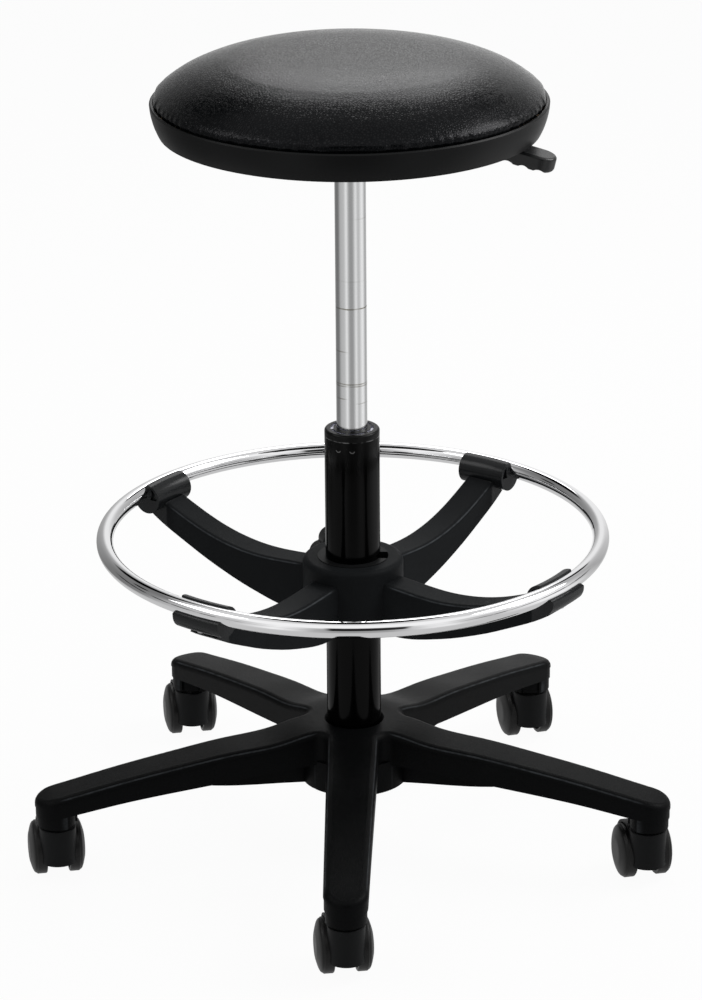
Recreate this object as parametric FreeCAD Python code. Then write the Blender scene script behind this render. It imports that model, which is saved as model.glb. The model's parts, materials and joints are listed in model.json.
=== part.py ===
import FreeCAD, Part
import math
import os

# Round pneumatic drafting stool.  Millimetres, +Z up, -Y to the front.
# The origin lies on the floor, on the axis of the gas column.

V = FreeCAD.Vector
UP = V(0, 0, 1)

# Fits
run_gap = 0.05          # radial clearance of a turning or sliding fit
seat_gap = 0.3          # air between pieces that only lie near each other

# Column and gas lift
column_r = 25.0
column_wall = 2.0
column_top = 403.0
column_foot = 62.0
taper_drop = 1.0        # how much the radius shrinks from the hub's mouth to the column's foot
collar_height = 6.0
bush_length = 72.0
lift_r = 14.0
lift_wall = 2.5
lift_bottom = 328.0
lift_top = 676.0
lift_taper_length = 31.0
lift_taper_drop = 1.0
lift_cap = 8.0
lift_head = 36.0        # solid head of the cylinder that guides the release pin
rod_r = 5.0
piston_length = 12.0
floor_thick = 4.0
race_r = 12.0
race_thick = 2.0
ball_r = 2.5
ball_count = 9
bump_length = 18.0
bump_r = 13.0
clip_thick = 2.0
clip_r = 9.0
stake_z = 395.0
stake_r = 2.2
stake_depth = 0.6
stake_angles = (-120, -90, 60, 90)
pin_r = 4.0
pin_proud = 3.2
pin_length = 30.0

# Five-leg base
leg_count = 5
leg_turn = -91.68       # direction of the front leg, degrees from +X
stem_circle = 283.3
leg_end_r = 20.0
leg_draft = 0.9         # degrees by which each side of a leg closes towards its end
valley_r = 10.0
hub_top = 123.8
hub_flat_r = 38.0
hub_r = 49.5
hub_bottom = 65.5
hub_shoulder = 91.0
hub_sleeve_wall = 6.5
hub_wall = 3.5
hub_rib_count = 10
leg_roll = 6.4          # roll of the legs' upper edges
roll_step = 0.6         # the skirts stand in by this much below the roll
leg_wall = 3.6
leg_roof = 7.5
leg_web = 5.0
leg_rib_radii = (95.0, 135.0, 175.0, 215.0)
leg_rib = 2.5
web_end = 158.0
boss_r = 18.5
boss_bottom = 56.0
socket_r = 8.0
socket_depth = 24.0

# Casters
wheel_r = 25.0
wheel_inner = 10.4      # inner face of a wheel, from the caster's middle
tread_width = 8.6
wheel_width = 15.1
wheel_rim = 3.2
wheel_boss_r = 7.5
wheel_hollow = 6.5
wheel_rib_count = 6
trail = 18.0
hood_r = 16.8
hood_top = 53.5
hood_bottom = 18.7
hood_wall = 2.4
axle_r = 3.5
axle_half = 21.4
stem_r = 5.5
stem_foot = 30.0
stem_flange_r = 9.5
caster_headings = (8, 13, 15, 10, 10)

# Foot ring
ring_circle = 225.6
ring_r = 7.5
ring_wall = 1.5
ring_z = 305.4
arm_count = 4
arm_turn = 54.0
arm_width = 29.0
arm_edge = 3.5
arm_wall = 3.5
arm_roof = 5.0
arm_rib = 3.0
arm_rib_radii = (100.0, 150.0)
spider_top = 285.0
spider_bottom = 224.0
spider_r = 46.0
spider_edge = 5.0
sleeve_wall = 7.25
sleeve_flange = 4.0
sleeve_flange_r = 39.0
sleeve_slot = 16.0
sleeve_slot_turn = -3.0
clip_ring_r = 14.1
clip_in = 4.1           # the clip's own centre lies this far inside the ring's
clip_down = 5.9         # and this far below it
clip_mouth = (-23, 117)  # the ring shows between these directions of its section
clip_half = 24.6        # half its length
clip_skin = 2.4
clip_recess = 2.5       # depth of the hollow over the lower edge, in its ends
ring_screw_r = 2.0
ring_screw_in = 1.0

# Lock knob
knob_turn = 103.0
knob_z = 263.0
knob_r = 24.4
knob_lobes = 5
knob_lobe_r = 11.0
knob_core_r = 19.0
knob_phase = 52.0       # lean of the uppermost lobe
knob_start = 55.0
knob_length = 21.0
knob_neck_r = 9.0
stud_r = 4.0
pad_r = 7.0
pad_thick = 3.0
insert_r = 7.0
knob_boss_r = 12.0
boss_reach = 50.0
knob_travel = 2.3

# Seat
seam_z = 714.0
seam_r = 175.5
rim_bottom = 687.9
rim_bottom_r = 168.4
pan_wall = 3.0
pan_floor = 694.0
pan_hole_r = 45.0
board_thick = 12.0
crown = 41.5
plate_thick = 2.5
plate_long = 160.0
plate_wide = 112.0
plate_flange = 12.0
plate_corner = 14.0
bolt_x = 125.0
bolt_y = 80.0
bolt_r = 3.0
bolt_head_r = 6.0
bolt_head = 2.6
nut_flange_r = 9.0
nut_flange = 1.2
nut_barrel_r = 4.2
taper_socket_wall = 4.5
taper_socket_foot = 646.0

# Height lever
lever_turn = -15.0
lever_bend_at = 120.0
lever_slope = 13.5
lever_z = 682.9
lever_r = 4.0
lever_strap_width = 9.0
lever_strap_end = 52.0
lever_tail = 8.0
pivot_at = 35.0
pivot_r = 2.5
ear_thick = 3.0
ear_half = 8.0
grip_start = 133.0
grip_end = 184.5
grip_half = 13.5
grip_neck = 8.0
grip_above = 6.2        # grip over and under the rod's axis
grip_below = 8.2
grip_edge = 2.6
grip_keel = 4.5
wave_pitch = 14.0
wave_depth = 2.9
wave_count = 3
wave_end = 4.0


# ---------------------------------------------------------------- helpers

def rod(radius, low, high, x=0.0, y=0.0):
    return Part.makeCylinder(radius, high - low, V(x, y, low))


def tube(outer, inner, low, high):
    return rod(outer, low, high).cut(rod(inner, low - 1, high + 1))


def cone(low_r, high_r, low, high):
    if abs(low_r - high_r) < 1e-6:
        return rod(low_r, low, high)
    return Part.makeCone(low_r, high_r, high - low, V(0, 0, low))


def block(x0, x1, y0, y1, z0, z1):
    return Part.makeBox(x1 - x0, y1 - y0, z1 - z0, V(x0, y0, z0))


def turned(shape, degrees):
    copy = shape.copy()
    copy.rotate(V(0, 0, 0), UP, degrees)
    return copy


def around(shape, count, start=0.0):
    return [turned(shape, start + 360.0 * i / count) for i in range(count)]


def joined(shapes):
    return shapes[0].multiFuse(shapes[1:]).removeSplitter()


def segment(a, b):
    return Part.LineSegment(V(a[0], 0, a[1]), V(b[0], 0, b[1])).toShape()


def curve(points, start=None, end=None):
    # smooth curve in the XZ plane; start and end are optional end directions
    spline = Part.BSplineCurve()
    options = {}
    if start and end:
        options = {"InitialTangent": V(start[0], 0, start[1]), "FinalTangent": V(end[0], 0, end[1])}
    spline.interpolate(Points=[V(x, 0, z) for x, z in points], **options)
    return spline.toShape()


def section(edges):
    return Part.Face(Part.Wire(Part.__sortEdges__(edges)))


def outline(points):
    closed = points + [points[0]]
    return section([segment(a, b) for a, b in zip(closed, closed[1:])])


def spun(face, degrees=360.0):
    return face.revolve(V(0, 0, 0), UP, degrees)


def nearest(shape, point):
    return min(shape.Edges, key=lambda edge: edge.distToShape(Part.Vertex(point))[0])


# ---------------------------------------------------------------- base

def leg_top():
    # the legs' upper line, from the hub's flat to the rounded end
    reach = stem_circle + leg_end_r
    return [(hub_flat_r, hub_top), (stem_circle * 0.27, hub_top - 7.2), (stem_circle * 0.42, hub_top - 11.7),
            (stem_circle * 0.58, hub_top - 17.3), (stem_circle * 0.73, hub_top - 23.4),
            (stem_circle * 0.85, hub_top - 29.0), (stem_circle * 0.955, hub_top - 34.4),
            (reach + 4.0, hub_top - 44.2)]


def skirt_foot():
    reach = stem_circle + leg_end_r
    return [(0.0, hub_shoulder), (hub_r, hub_shoulder), (stem_circle * 0.38, hub_shoulder - 4.5),
            (stem_circle * 0.61, hub_shoulder - 10.0), (stem_circle * 0.84, hub_shoulder - 16.5),
            (stem_circle * 0.94, hub_shoulder - 20.5), (reach + 4.0, hub_shoulder - 26.5)]


def lowered(points, drop):
    return [(x, z - drop) for x, z in points]


def leg_slab(top_drop, foot=None, foot_drop=None):
    # everything between the legs' upper line, lowered, and a lower line
    top = lowered(leg_top(), top_drop)
    if foot is None:
        foot = lowered([(0.0, hub_top)] + leg_top(), foot_drop)
    edges = [segment((0, top[0][1]), top[0]), curve(top, (1, 0), (1, -0.5)), segment(top[-1], foot[-1])]
    if foot_drop is None:
        edges += [segment(foot[0], foot[1]), curve(foot[1:], (1, -0.03), (1, -0.2))]
    else:
        edges += [segment(foot[0], foot[1]), curve(foot[1:], (1, 0), (1, -0.5))]
    edges.append(segment(foot[0], (0, top[0][1])))
    return spun(section(edges))


def leg_plan(inset):
    # one leg seen from above, along +X: straight closing sides tangent to a round end
    tau = math.radians(leg_draft)
    radius = leg_end_r - inset
    x1 = stem_circle + radius * math.sin(tau)
    y1 = radius * math.cos(tau)
    y0 = y1 + x1 * math.tan(tau)
    side = Part.LineSegment(V(0, y0, 0), V(x1, y1, 0)).toShape()
    end = Part.Arc(V(x1, y1, 0), V(stem_circle + radius, 0, 0), V(x1, -y1, 0)).toShape()
    back = Part.LineSegment(V(x1, -y1, 0), V(0, -y0, 0)).toShape()
    foot = Part.LineSegment(V(0, -y0, 0), V(0, y0, 0)).toShape()
    return Part.Face(Part.Wire([side, end, back, foot])), y0


def star_prism(inset):
    plan, half = leg_plan(inset)
    legs = joined(around(plan.extrude(V(0, 0, hub_top + 40)), leg_count, leg_turn))
    half_step = math.pi / leg_count
    tau = math.radians(leg_draft)
    corner = half / (math.sin(half_step) + math.tan(tau) * math.cos(half_step))
    valleys = []
    for i in range(leg_count):
        angle = math.radians(leg_turn) + half_step * (2 * i + 1)
        spot = V(corner * math.cos(angle), corner * math.sin(angle), hub_top / 2)
        valleys.append(nearest(legs, spot))
    return legs.makeFillet(valley_r + inset, valleys)


def column_cone(extra):
    # taper of the column's foot and of the hub's bore, which is larger by extra
    high = hub_top + 2.0
    return cone(column_r - taper_drop + extra, column_r + extra, column_foot, high)


def leg_cross_ribs():
    ribs = []
    for radius in leg_rib_radii:
        ribs.append(block(radius - leg_rib / 2, radius + leg_rib / 2, -leg_end_r * 2, leg_end_r * 2,
                          0, hub_top + 20))
    return ribs


def make_base_star():
    crown_part = star_prism(0).common(leg_slab(0, foot_drop=leg_roll + 0.6))
    highest = [f for f in crown_part.Faces if f.BoundBox.ZMax > hub_top - 0.01]
    top_face = max(highest, key=lambda f: f.Area)
    rim = [e for e in top_face.Edges if abs(e.CenterOfMass.z - hub_top) > 0.5 and not e.isSeam(top_face)]
    crown_part = crown_part.makeFillet(leg_roll, rim)
    skirts = star_prism(roll_step).common(leg_slab(leg_roll + 0.5, foot=skirt_foot()))
    hub = rod(hub_r, hub_bottom, hub_shoulder + 4)
    hub = hub.makeFillet(1.5, [e for e in hub.Edges if abs(e.BoundBox.ZMax - hub_bottom) < 0.01])
    web_line = [(hub_r - 2, hub_bottom), (stem_circle * 0.3, hub_bottom + 3.0),
                (stem_circle * 0.45, hub_bottom + 7.0), (web_end, hub_bottom + 13.0)]
    web = section([curve(web_line), segment(web_line[-1], (web_end, hub_shoulder + 4)),
                   segment((web_end, hub_shoulder + 4), (hub_r - 2, hub_shoulder + 4)),
                   segment((hub_r - 2, hub_shoulder + 4), web_line[0])])
    web = web.extrude(V(0, leg_web, 0))
    web.translate(V(0, -leg_web / 2, 0))
    boss = rod(boss_r, boss_bottom, hub_shoulder - 14, stem_circle)
    star = joined([crown_part, skirts, hub] + around(web, leg_count, leg_turn)
                  + around(boss, leg_count, leg_turn))

    hollow = star_prism(leg_wall).common(leg_slab(leg_roof, foot=lowered(skirt_foot(), 30)))
    keep = [rod(hub_r + 0.5, 0, hub_top)]
    for rib in leg_cross_ribs():
        keep += around(rib, leg_count, leg_turn)
    keep += around(rod(boss_r - 2, 0, hub_top, stem_circle), leg_count, leg_turn)
    keep += around(block(0, stem_circle, -leg_web / 2, leg_web / 2, 0, hub_top), leg_count, leg_turn)
    star = star.cut(hollow.cut(Part.makeCompound(keep)))

    sleeve_r = column_r + hub_sleeve_wall
    hub_hollow = tube(hub_r - hub_wall, sleeve_r, hub_bottom - 1, hub_top - 16)
    spoke = block(0, hub_r, -leg_rib / 2, leg_rib / 2, 0, hub_top)
    hub_hollow = hub_hollow.cut(Part.makeCompound(around(spoke, hub_rib_count, leg_turn)))
    star = star.cut(hub_hollow)
    star = star.cut(column_cone(run_gap))
    mouth = cone(column_r, column_r + 3.0, hub_top - 2.6, hub_top + 0.4)
    star = star.cut(mouth)
    well = rod(socket_r + run_gap, boss_bottom - 1, boss_bottom + socket_depth + run_gap, stem_circle)
    return star.cut(Part.makeCompound(around(well, leg_count, leg_turn)))


def make_stem_sockets():
    top = boss_bottom + socket_depth
    socket = tube(socket_r, stem_r + run_gap, boss_bottom, top - 1.5)
    cap = rod(socket_r, top - 1.5, top)
    flange = socket.fuse(cap).removeSplitter()
    flange.translate(V(stem_circle, 0, 0))
    return Part.makeCompound(around(flange, leg_count, leg_turn))


def make_outer_column():
    foot_r = column_r - taper_drop
    skin = outline([(foot_r - column_wall, column_foot), (foot_r, column_foot), (column_r, hub_top + 2.0),
                    (column_r, column_top), (column_r - column_wall, column_top),
                    (column_r - column_wall, hub_top + 2.0)])
    column = spun(skin)
    for angle in stake_angles:
        away = column_r + stake_r - stake_depth
        dent = Part.makeSphere(stake_r, V(away, 0, stake_z))
        column = column.cut(turned(dent, angle))
    return column


def column_bore_at(z):
    # inner radius of the column tube in its tapered foot
    share = (z - column_foot) / (hub_top + 2.0 - column_foot)
    return column_r - column_wall - taper_drop * (1 - share)


def make_column_floor():
    top = column_foot + floor_thick
    disc = cone(column_bore_at(column_foot) - run_gap, column_bore_at(top) - run_gap, column_foot, top)
    return disc.cut(rod(rod_r + run_gap, column_foot - 1, top + 1))


def make_guide_bush():
    bore = lift_r + run_gap
    collar = rod(column_r, column_top, column_top + collar_height)
    upper = [e for e in collar.Edges if abs(e.BoundBox.ZMin - column_top - collar_height) < 0.01]
    collar = collar.makeFillet(2.4, upper)
    plug = rod(column_r - column_wall - run_gap, column_top - bush_length, column_top)
    bush = collar.fuse(plug).removeSplitter()
    bush = bush.cut(rod(bore, column_top - bush_length - 1, column_top + collar_height + 1))
    relief = rod(bore + 2.0, column_top - bush_length + 18, column_top - 14)
    groove = tube(bore + 5.6, bore + 3.0, column_top + collar_height - 1.4, column_top + collar_height + 1)
    spoke = block(0, column_r, -1.2, 1.2, column_top, column_top + 20)
    groove = groove.cut(Part.makeCompound(around(spoke, 6, 15)))
    return bush.cut(relief).cut(groove)


# ---------------------------------------------------------------- gas lift

def bearing_level():
    return column_foot + floor_thick + 0.02


def make_lower_race():
    return tube(race_r, rod_r + 1.0, bearing_level(), bearing_level() + race_thick)


def make_bearing_balls():
    middle = (race_r + rod_r + 1.0) / 2
    level = bearing_level() + race_thick + ball_r + run_gap
    ball = Part.makeSphere(ball_r, V(middle, 0, level))
    return Part.makeCompound(around(ball, ball_count))


def make_bearing_cage():
    middle = (race_r + rod_r + 1.0) / 2
    level = bearing_level() + race_thick + ball_r + run_gap
    cage = tube(race_r - 0.4, rod_r + 1.4, level - 1.0, level + 1.0)
    hole = rod(ball_r + run_gap, level - 3, level + 3, middle)
    return cage.cut(Part.makeCompound(around(hole, ball_count)))


def upper_race_level():
    return bearing_level() + race_thick + 2 * (ball_r + run_gap)


def make_upper_race():
    return tube(race_r, rod_r + run_gap, upper_race_level(), upper_race_level() + race_thick)


def make_bump_rubber():
    low = upper_race_level() + race_thick
    ring = tube(bump_r, rod_r + run_gap, low, low + bump_length)
    edges = [e for e in ring.Edges if abs(e.BoundBox.ZMin - low - bump_length) < 0.01]
    waist = Part.makeTorus(bump_r + 1.2, 3.0, V(0, 0, low + bump_length / 2))
    return ring.makeFillet(1.5, edges).cut(waist)


def make_piston_rod():
    foot = column_foot - clip_thick - 4.0
    shaft = rod(rod_r, foot, lift_bottom + lift_cap + 4 + piston_length + 2)
    groove = tube(rod_r + 1, rod_r - 1.0, clip_level(), clip_level() + clip_thick + 2 * run_gap)
    return shaft.cut(groove)


def clip_level():
    return column_foot - clip_thick - seat_gap


def make_piston():
    low = lift_bottom + lift_cap + 4
    bore = lift_r - lift_wall
    body = tube(bore - run_gap, rod_r, low, low + piston_length)
    return body.cut(Part.makeTorus(bore, 1.2, V(0, 0, low + piston_length / 2)))


def make_retaining_clip():
    low = clip_level() + run_gap
    clip = tube(clip_r, rod_r - 1.0 + run_gap, low, low + clip_thick)
    return clip.cut(block(0, clip_r + 1, -2.5, 2.5, low - 1, low + clip_thick + 1))


def make_gas_cylinder():
    shoulder = lift_top - lift_taper_length
    body = rod(lift_r, lift_bottom, shoulder)
    body = body.makeFillet(1.2, [e for e in body.Edges if abs(e.BoundBox.ZMax - lift_bottom) < 0.01])
    head = cone(lift_r, lift_r - lift_taper_drop, shoulder, lift_top)
    chamber = rod(lift_r - lift_wall, lift_bottom + lift_cap, lift_top - lift_head)
    body = body.fuse(head).cut(chamber)
    body = body.cut(rod(rod_r + run_gap, lift_bottom - 1, lift_bottom + lift_cap + 1))
    return body.cut(rod(pin_r + run_gap, lift_top - lift_head - 1, lift_top + 1))


def make_release_pin():
    top = lift_top + pin_proud
    pin = rod(pin_r, top - pin_length, top)
    return pin.makeFillet(0.8, [e for e in pin.Edges if abs(e.BoundBox.ZMin - top) < 0.01])


# ---------------------------------------------------------------- casters

def placed(shape, index):
    # from a caster's own frame (stem at the origin, axle along X) to its leg
    angle = math.radians(leg_turn + 360.0 * index / leg_count)
    copy = turned(shape, caster_headings[index])
    copy.translate(V(stem_circle * math.cos(angle), stem_circle * math.sin(angle), 0))
    return copy


def across(radius, x0, x1):
    # cylinder along X on the wheels' axle
    return Part.makeCylinder(radius, x1 - x0, V(x0, trail, wheel_r), V(1, 0, 0))


def make_caster_hood():
    web = wheel_inner - 1.0
    fender_r = wheel_r + 1.0 + hood_wall
    barrel = rod(hood_r, hood_bottom, hood_top)
    fender = across(fender_r, -hood_r + 0.3, hood_r - 0.3)
    rear = trail + fender_r + 1
    fender = fender.cut(block(-hood_r, hood_r, -hood_r * 2, rear, -5, hood_bottom))
    fender = fender.common(block(-hood_r, hood_r, 0, rear, hood_bottom, hood_top))
    hood = barrel.fuse(fender).removeSplitter()
    for side in (-1, 1):
        low, high = sorted((side * web, side * (hood_r + 2)))
        hood = hood.cut(across(wheel_r + 1.0, low, high))
    for side in (-1, 1):
        low, high = sorted((side * web, side * (hood_r + 2)))
        hood = hood.cut(block(low, high, trail, rear, 0, wheel_r + 2))
    hood = hood.cut(across(axle_r + run_gap, -web - 1, web + 1))
    hood = hood.cut(rod(stem_r + run_gap, stem_foot - seat_gap, hood_top + 1))
    rim = [e for e in hood.Edges if abs(e.BoundBox.ZMin - hood_top) < 0.01 and e.BoundBox.YMin < -hood_r + 1]
    return hood.makeFillet(1.4, rim)


def make_caster_stem():
    top = boss_bottom + socket_depth - 1.5 - seat_gap
    stem = rod(stem_r, stem_foot, top)
    flange = rod(stem_flange_r, hood_top + seat_gap, boss_bottom - 0.02)
    stem = stem.fuse(flange).removeSplitter()
    tip = [e for e in stem.Edges if abs(e.BoundBox.ZMin - top) < 0.01]
    return stem.makeFillet(1.5, tip)


def make_caster_axle():
    axle = across(axle_r, -axle_half, axle_half)
    ends = [e for e in axle.Edges if abs(abs(e.CenterOfMass.x) - axle_half) < 0.01]
    return axle.makeChamfer(0.6, ends)


def make_wheel(side):
    # turned about the axle, here drawn with the axle along Z, then laid on its side
    dome = curve([(wheel_r - 1.0, tread_width + 1.2), (wheel_r * 0.86, wheel_width * 0.80),
                  (wheel_r * 0.6, wheel_width * 0.94), (wheel_boss_r, wheel_width)], (-0.35, 1), (-1, 0))
    bore_end = axle_half + seat_gap - wheel_inner
    bore = axle_r + run_gap
    hollow_r = wheel_r - wheel_rim
    edges = [segment((bore, 0), (wheel_boss_r, 0)), segment((wheel_boss_r, 0), (wheel_boss_r, wheel_hollow)),
             segment((wheel_boss_r, wheel_hollow), (hollow_r, wheel_hollow)),
             segment((hollow_r, wheel_hollow), (hollow_r, 0)), segment((hollow_r, 0), (wheel_r - 0.8, 0)),
             segment((wheel_r - 0.8, 0), (wheel_r, 0.8)), segment((wheel_r, 0.8), (wheel_r, tread_width)),
             segment((wheel_r, tread_width), (wheel_r - 1.0, tread_width + 1.2)), dome,
             segment((wheel_boss_r, wheel_width), (0, wheel_width)),
             segment((0, wheel_width), (0, bore_end)), segment((0, bore_end), (bore, bore_end)),
             segment((bore, bore_end), (bore, 0))]
    wheel = spun(section(edges))
    rib = block(wheel_boss_r - 1, hollow_r + 1, -0.9, 0.9, 1.2, wheel_hollow + 1)
    wheel = joined([wheel] + around(rib, wheel_rib_count))
    wheel.rotate(V(0, 0, 0), V(0, 1, 0), 90 * side)
    wheel.translate(V(side * wheel_inner, trail, wheel_r))
    return wheel


# ---------------------------------------------------------------- foot ring

def arm_top():
    return [(spider_r - 3, 271.0), (72, 268.9), (97, 267.8), (120, 269.2), (142, 272.9), (163, 278.7),
            (185, 287.0), (ring_circle - 20, 296.0)]


def arm_foot():
    return [(spider_r - 3, spider_bottom), (75, 224.7), (97, 229.8), (119, 236.1), (141, 243.8), (163, 252.6),
            (182, 261.3), (203, 271.2), (ring_circle - 3, 282.5)]


def clip_centre():
    return ring_circle - clip_in, ring_z - clip_down


def sector(face, low, high):
    # a face in the XZ plane swept about Z from one azimuth to another
    return spun(turned(face, low), high - low)


def disc_face(x, z, radius):
    return Part.Face(Part.Wire(Part.makeCircle(radius, V(x, 0, z), V(0, 1, 0))))


def clip_profile(skin):
    # round body whose mouth opens up and outwards over the ring, shrunk by skin
    cx, cz = clip_centre()
    body = disc_face(cx, cz, clip_ring_r - skin)
    body = body.cut(disc_face(ring_circle, ring_z, ring_r + run_gap + skin))
    low, high = [math.radians(a) for a in clip_mouth]
    reach = 3 * clip_ring_r
    middle = (low + high) / 2
    spread = (high - low) / 2
    # the wedge's tip slides back along its middle so that both lips lose the same skin
    back = skin / math.sin(spread)
    tip = (ring_circle - back * math.cos(middle), ring_z - back * math.sin(middle))
    corners = [tip]
    for angle in (low, middle, high):
        corners.append((tip[0] + reach * math.cos(angle), tip[1] + reach * math.sin(angle)))
    return body.cut(outline(corners))


def clip_end(inset):
    # everything beyond one of the clip's ends
    start = clip_half - inset
    return block(ring_circle - 3 * clip_ring_r, ring_circle + 3 * clip_ring_r, start, start + clip_half,
                 ring_z - 3 * clip_ring_r, ring_z + 3 * clip_ring_r)


def disc_under(top):
    # all that the clips have below this level
    return rod(ring_circle + 3 * clip_ring_r, top - 3 * clip_ring_r, top)


def both_sides(shape):
    return Part.makeCompound([shape, shape.mirror(V(0, 0, 0), V(0, 1, 0))])


def make_clip():
    turn = math.degrees(1.5 * clip_half / ring_circle)
    clip = sector(clip_profile(0), -turn, turn).cut(both_sides(clip_end(0)))
    hollow = sector(clip_profile(clip_skin), -turn, turn)
    hollow = hollow.cut(disc_under(ring_z - clip_down))
    return clip.cut(hollow.common(both_sides(clip_end(clip_recess))))


def make_arm():
    half = arm_width / 2
    side = section([curve(arm_top()), segment(arm_top()[-1], arm_foot()[-1]), curve(arm_foot()),
                    segment(arm_foot()[0], arm_top()[0])])
    side.translate(V(0, -half, 0))
    arm = side.extrude(V(0, arm_width, 0))
    crest = [e for e in arm.Edges if e.BoundBox.XLength > 100 and e.CenterOfMass.z > 260]
    return arm.makeFillet(arm_edge, crest)


def make_arm_hollow():
    half = arm_width / 2 - arm_wall
    roof = lowered(arm_top(), arm_roof)
    roof = [(spider_r + 2, roof[0][1])] + [p for p in roof[1:-1]]
    floor = [(spider_r + 2, spider_bottom - 20), (roof[-1][0], spider_bottom - 20)]
    side = section([curve(roof), segment(roof[-1], floor[1]), segment(floor[1], floor[0]),
                    segment(floor[0], roof[0])])
    side.translate(V(0, -half, 0))
    hollow = side.extrude(V(0, 2 * half, 0))
    ribs = [block(0, ring_circle, -arm_rib / 2, arm_rib / 2, 0, spider_top)]
    for radius in arm_rib_radii:
        ribs.append(block(radius - arm_rib / 2, radius + arm_rib / 2, -half - 1, half + 1, 0, spider_top))
    return hollow.cut(Part.makeCompound(ribs))


def make_ring_spider():
    hub = rod(spider_r, spider_bottom, spider_top)
    hub = hub.makeFillet(spider_edge, [e for e in hub.Edges if abs(e.BoundBox.ZMin - spider_top) < 0.01])
    boss = radial(knob_boss_r, spider_r - 8, boss_reach)
    arms = around(make_arm(), arm_count, arm_turn)
    clips = around(make_clip(), arm_count, arm_turn)
    spider = joined([hub, turned(boss, knob_turn)] + arms + clips)
    spider = spider.cut(Part.makeCompound(around(make_arm_hollow(), arm_count, arm_turn)))
    spider = spider.cut(rod(column_r + run_gap + sleeve_wall + run_gap, spider_bottom - 1, spider_top + 1))
    channel = Part.makeTorus(ring_circle, ring_r + run_gap, V(0, 0, ring_z))
    spider = spider.cut(channel)
    pocket = radial(pad_r + run_gap, column_r, pad_pocket_end())
    bore = radial(insert_r + run_gap, pad_pocket_end() - 1, boss_reach + 10)
    spider = spider.cut(turned(pocket.fuse(bore), knob_turn))
    return spider.cut(Part.makeCompound(around(ring_screw_hole(run_gap), arm_count, arm_turn)))


def pad_start():
    return column_r + run_gap + sleeve_wall + seat_gap


def pad_pocket_end():
    return pad_start() + pad_thick + knob_travel + seat_gap


def ring_screw_hole(extra):
    x = ring_circle - ring_screw_in
    foot = ring_z - clip_down - clip_ring_r
    shank = rod(ring_screw_r + extra, foot, ring_z - ring_r + ring_wall + 3, x)
    head = rod(2 * ring_screw_r + extra, foot - 2, foot + 3.5 + extra, x)
    return shank.fuse(head).removeSplitter()


def make_ring_screws():
    x = ring_circle - ring_screw_in
    foot = ring_z - clip_down - clip_ring_r
    shank = rod(ring_screw_r, foot + 1, ring_z - ring_r + ring_wall + 2, x)
    head = rod(2 * ring_screw_r, foot + 1.0, foot + 3.5, x)
    drive = rod(1.2, foot, foot + 2.4, x)
    screw = shank.fuse(head).removeSplitter().cut(drive)
    return Part.makeCompound(around(screw, arm_count, arm_turn))


def make_foot_ring():
    ring = Part.makeTorus(ring_circle, ring_r, V(0, 0, ring_z))
    ring = ring.cut(Part.makeTorus(ring_circle, ring_r - ring_wall, V(0, 0, ring_z)))
    return ring.cut(Part.makeCompound(around(ring_screw_hole(run_gap), arm_count, arm_turn)))


def make_split_sleeve():
    inner = column_r + run_gap
    outer = inner + sleeve_wall
    low = spider_bottom - sleeve_flange
    body = tube(outer, inner, low, spider_top + 0.6)
    flange = tube(sleeve_flange_r, inner, low, spider_bottom - seat_gap)
    sleeve = body.fuse(flange).removeSplitter()
    slot = block(0, sleeve_flange_r + 1, -sleeve_slot / 2, sleeve_slot / 2, low - 1, spider_top + 2)
    return sleeve.cut(turned(slot, sleeve_slot_turn))


def radial(radius, start, end):
    return Part.makeCylinder(radius, end - start, V(start, 0, knob_z), V(1, 0, 0))


def make_knob_insert():
    sleeve = radial(insert_r, pad_pocket_end() + 0.02, boss_reach)
    return turned(sleeve.cut(radial(stud_r + run_gap, column_r, boss_reach + 1)), knob_turn)


def make_clamp_pad():
    return turned(radial(pad_r, pad_start(), pad_start() + pad_thick), knob_turn)


def make_knob_stud():
    tip = pad_start() + pad_thick + 0.02
    stud = radial(stud_r, tip, knob_start + knob_length - 6)
    collar = radial(stud_r + 2.5, knob_start + 4, knob_start + 8)
    return turned(stud.fuse(collar).removeSplitter(), knob_turn)


def make_lock_knob():
    lobes = [radial(knob_core_r, knob_start, knob_start + knob_length)]
    for i in range(knob_lobes):
        lobe = radial(knob_lobe_r, knob_start, knob_start + knob_length)
        lobe.translate(V(0, 0, knob_r - knob_lobe_r))
        lobe.rotate(V(0, 0, knob_z), V(1, 0, 0), knob_phase + 360.0 * i / knob_lobes)
        lobes.append(lobe)
    head = joined(lobes)
    front = knob_start + knob_length
    face = [e for e in head.Edges if abs(e.BoundBox.XMin - front) < 0.01]
    back = [e for e in head.Edges if abs(e.BoundBox.XMax - knob_start) < 0.01]
    head = head.makeFillet(1.8, face + back)
    neck = radial(knob_neck_r, boss_reach + seat_gap, knob_start + 2)
    knob = head.fuse(neck).removeSplitter()
    knob = knob.cut(radial(stud_r, column_r, front - 6))
    return turned(knob.cut(radial(stud_r + 2.5, knob_start + 4, knob_start + 8)), knob_turn)


# ---------------------------------------------------------------- seat

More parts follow.
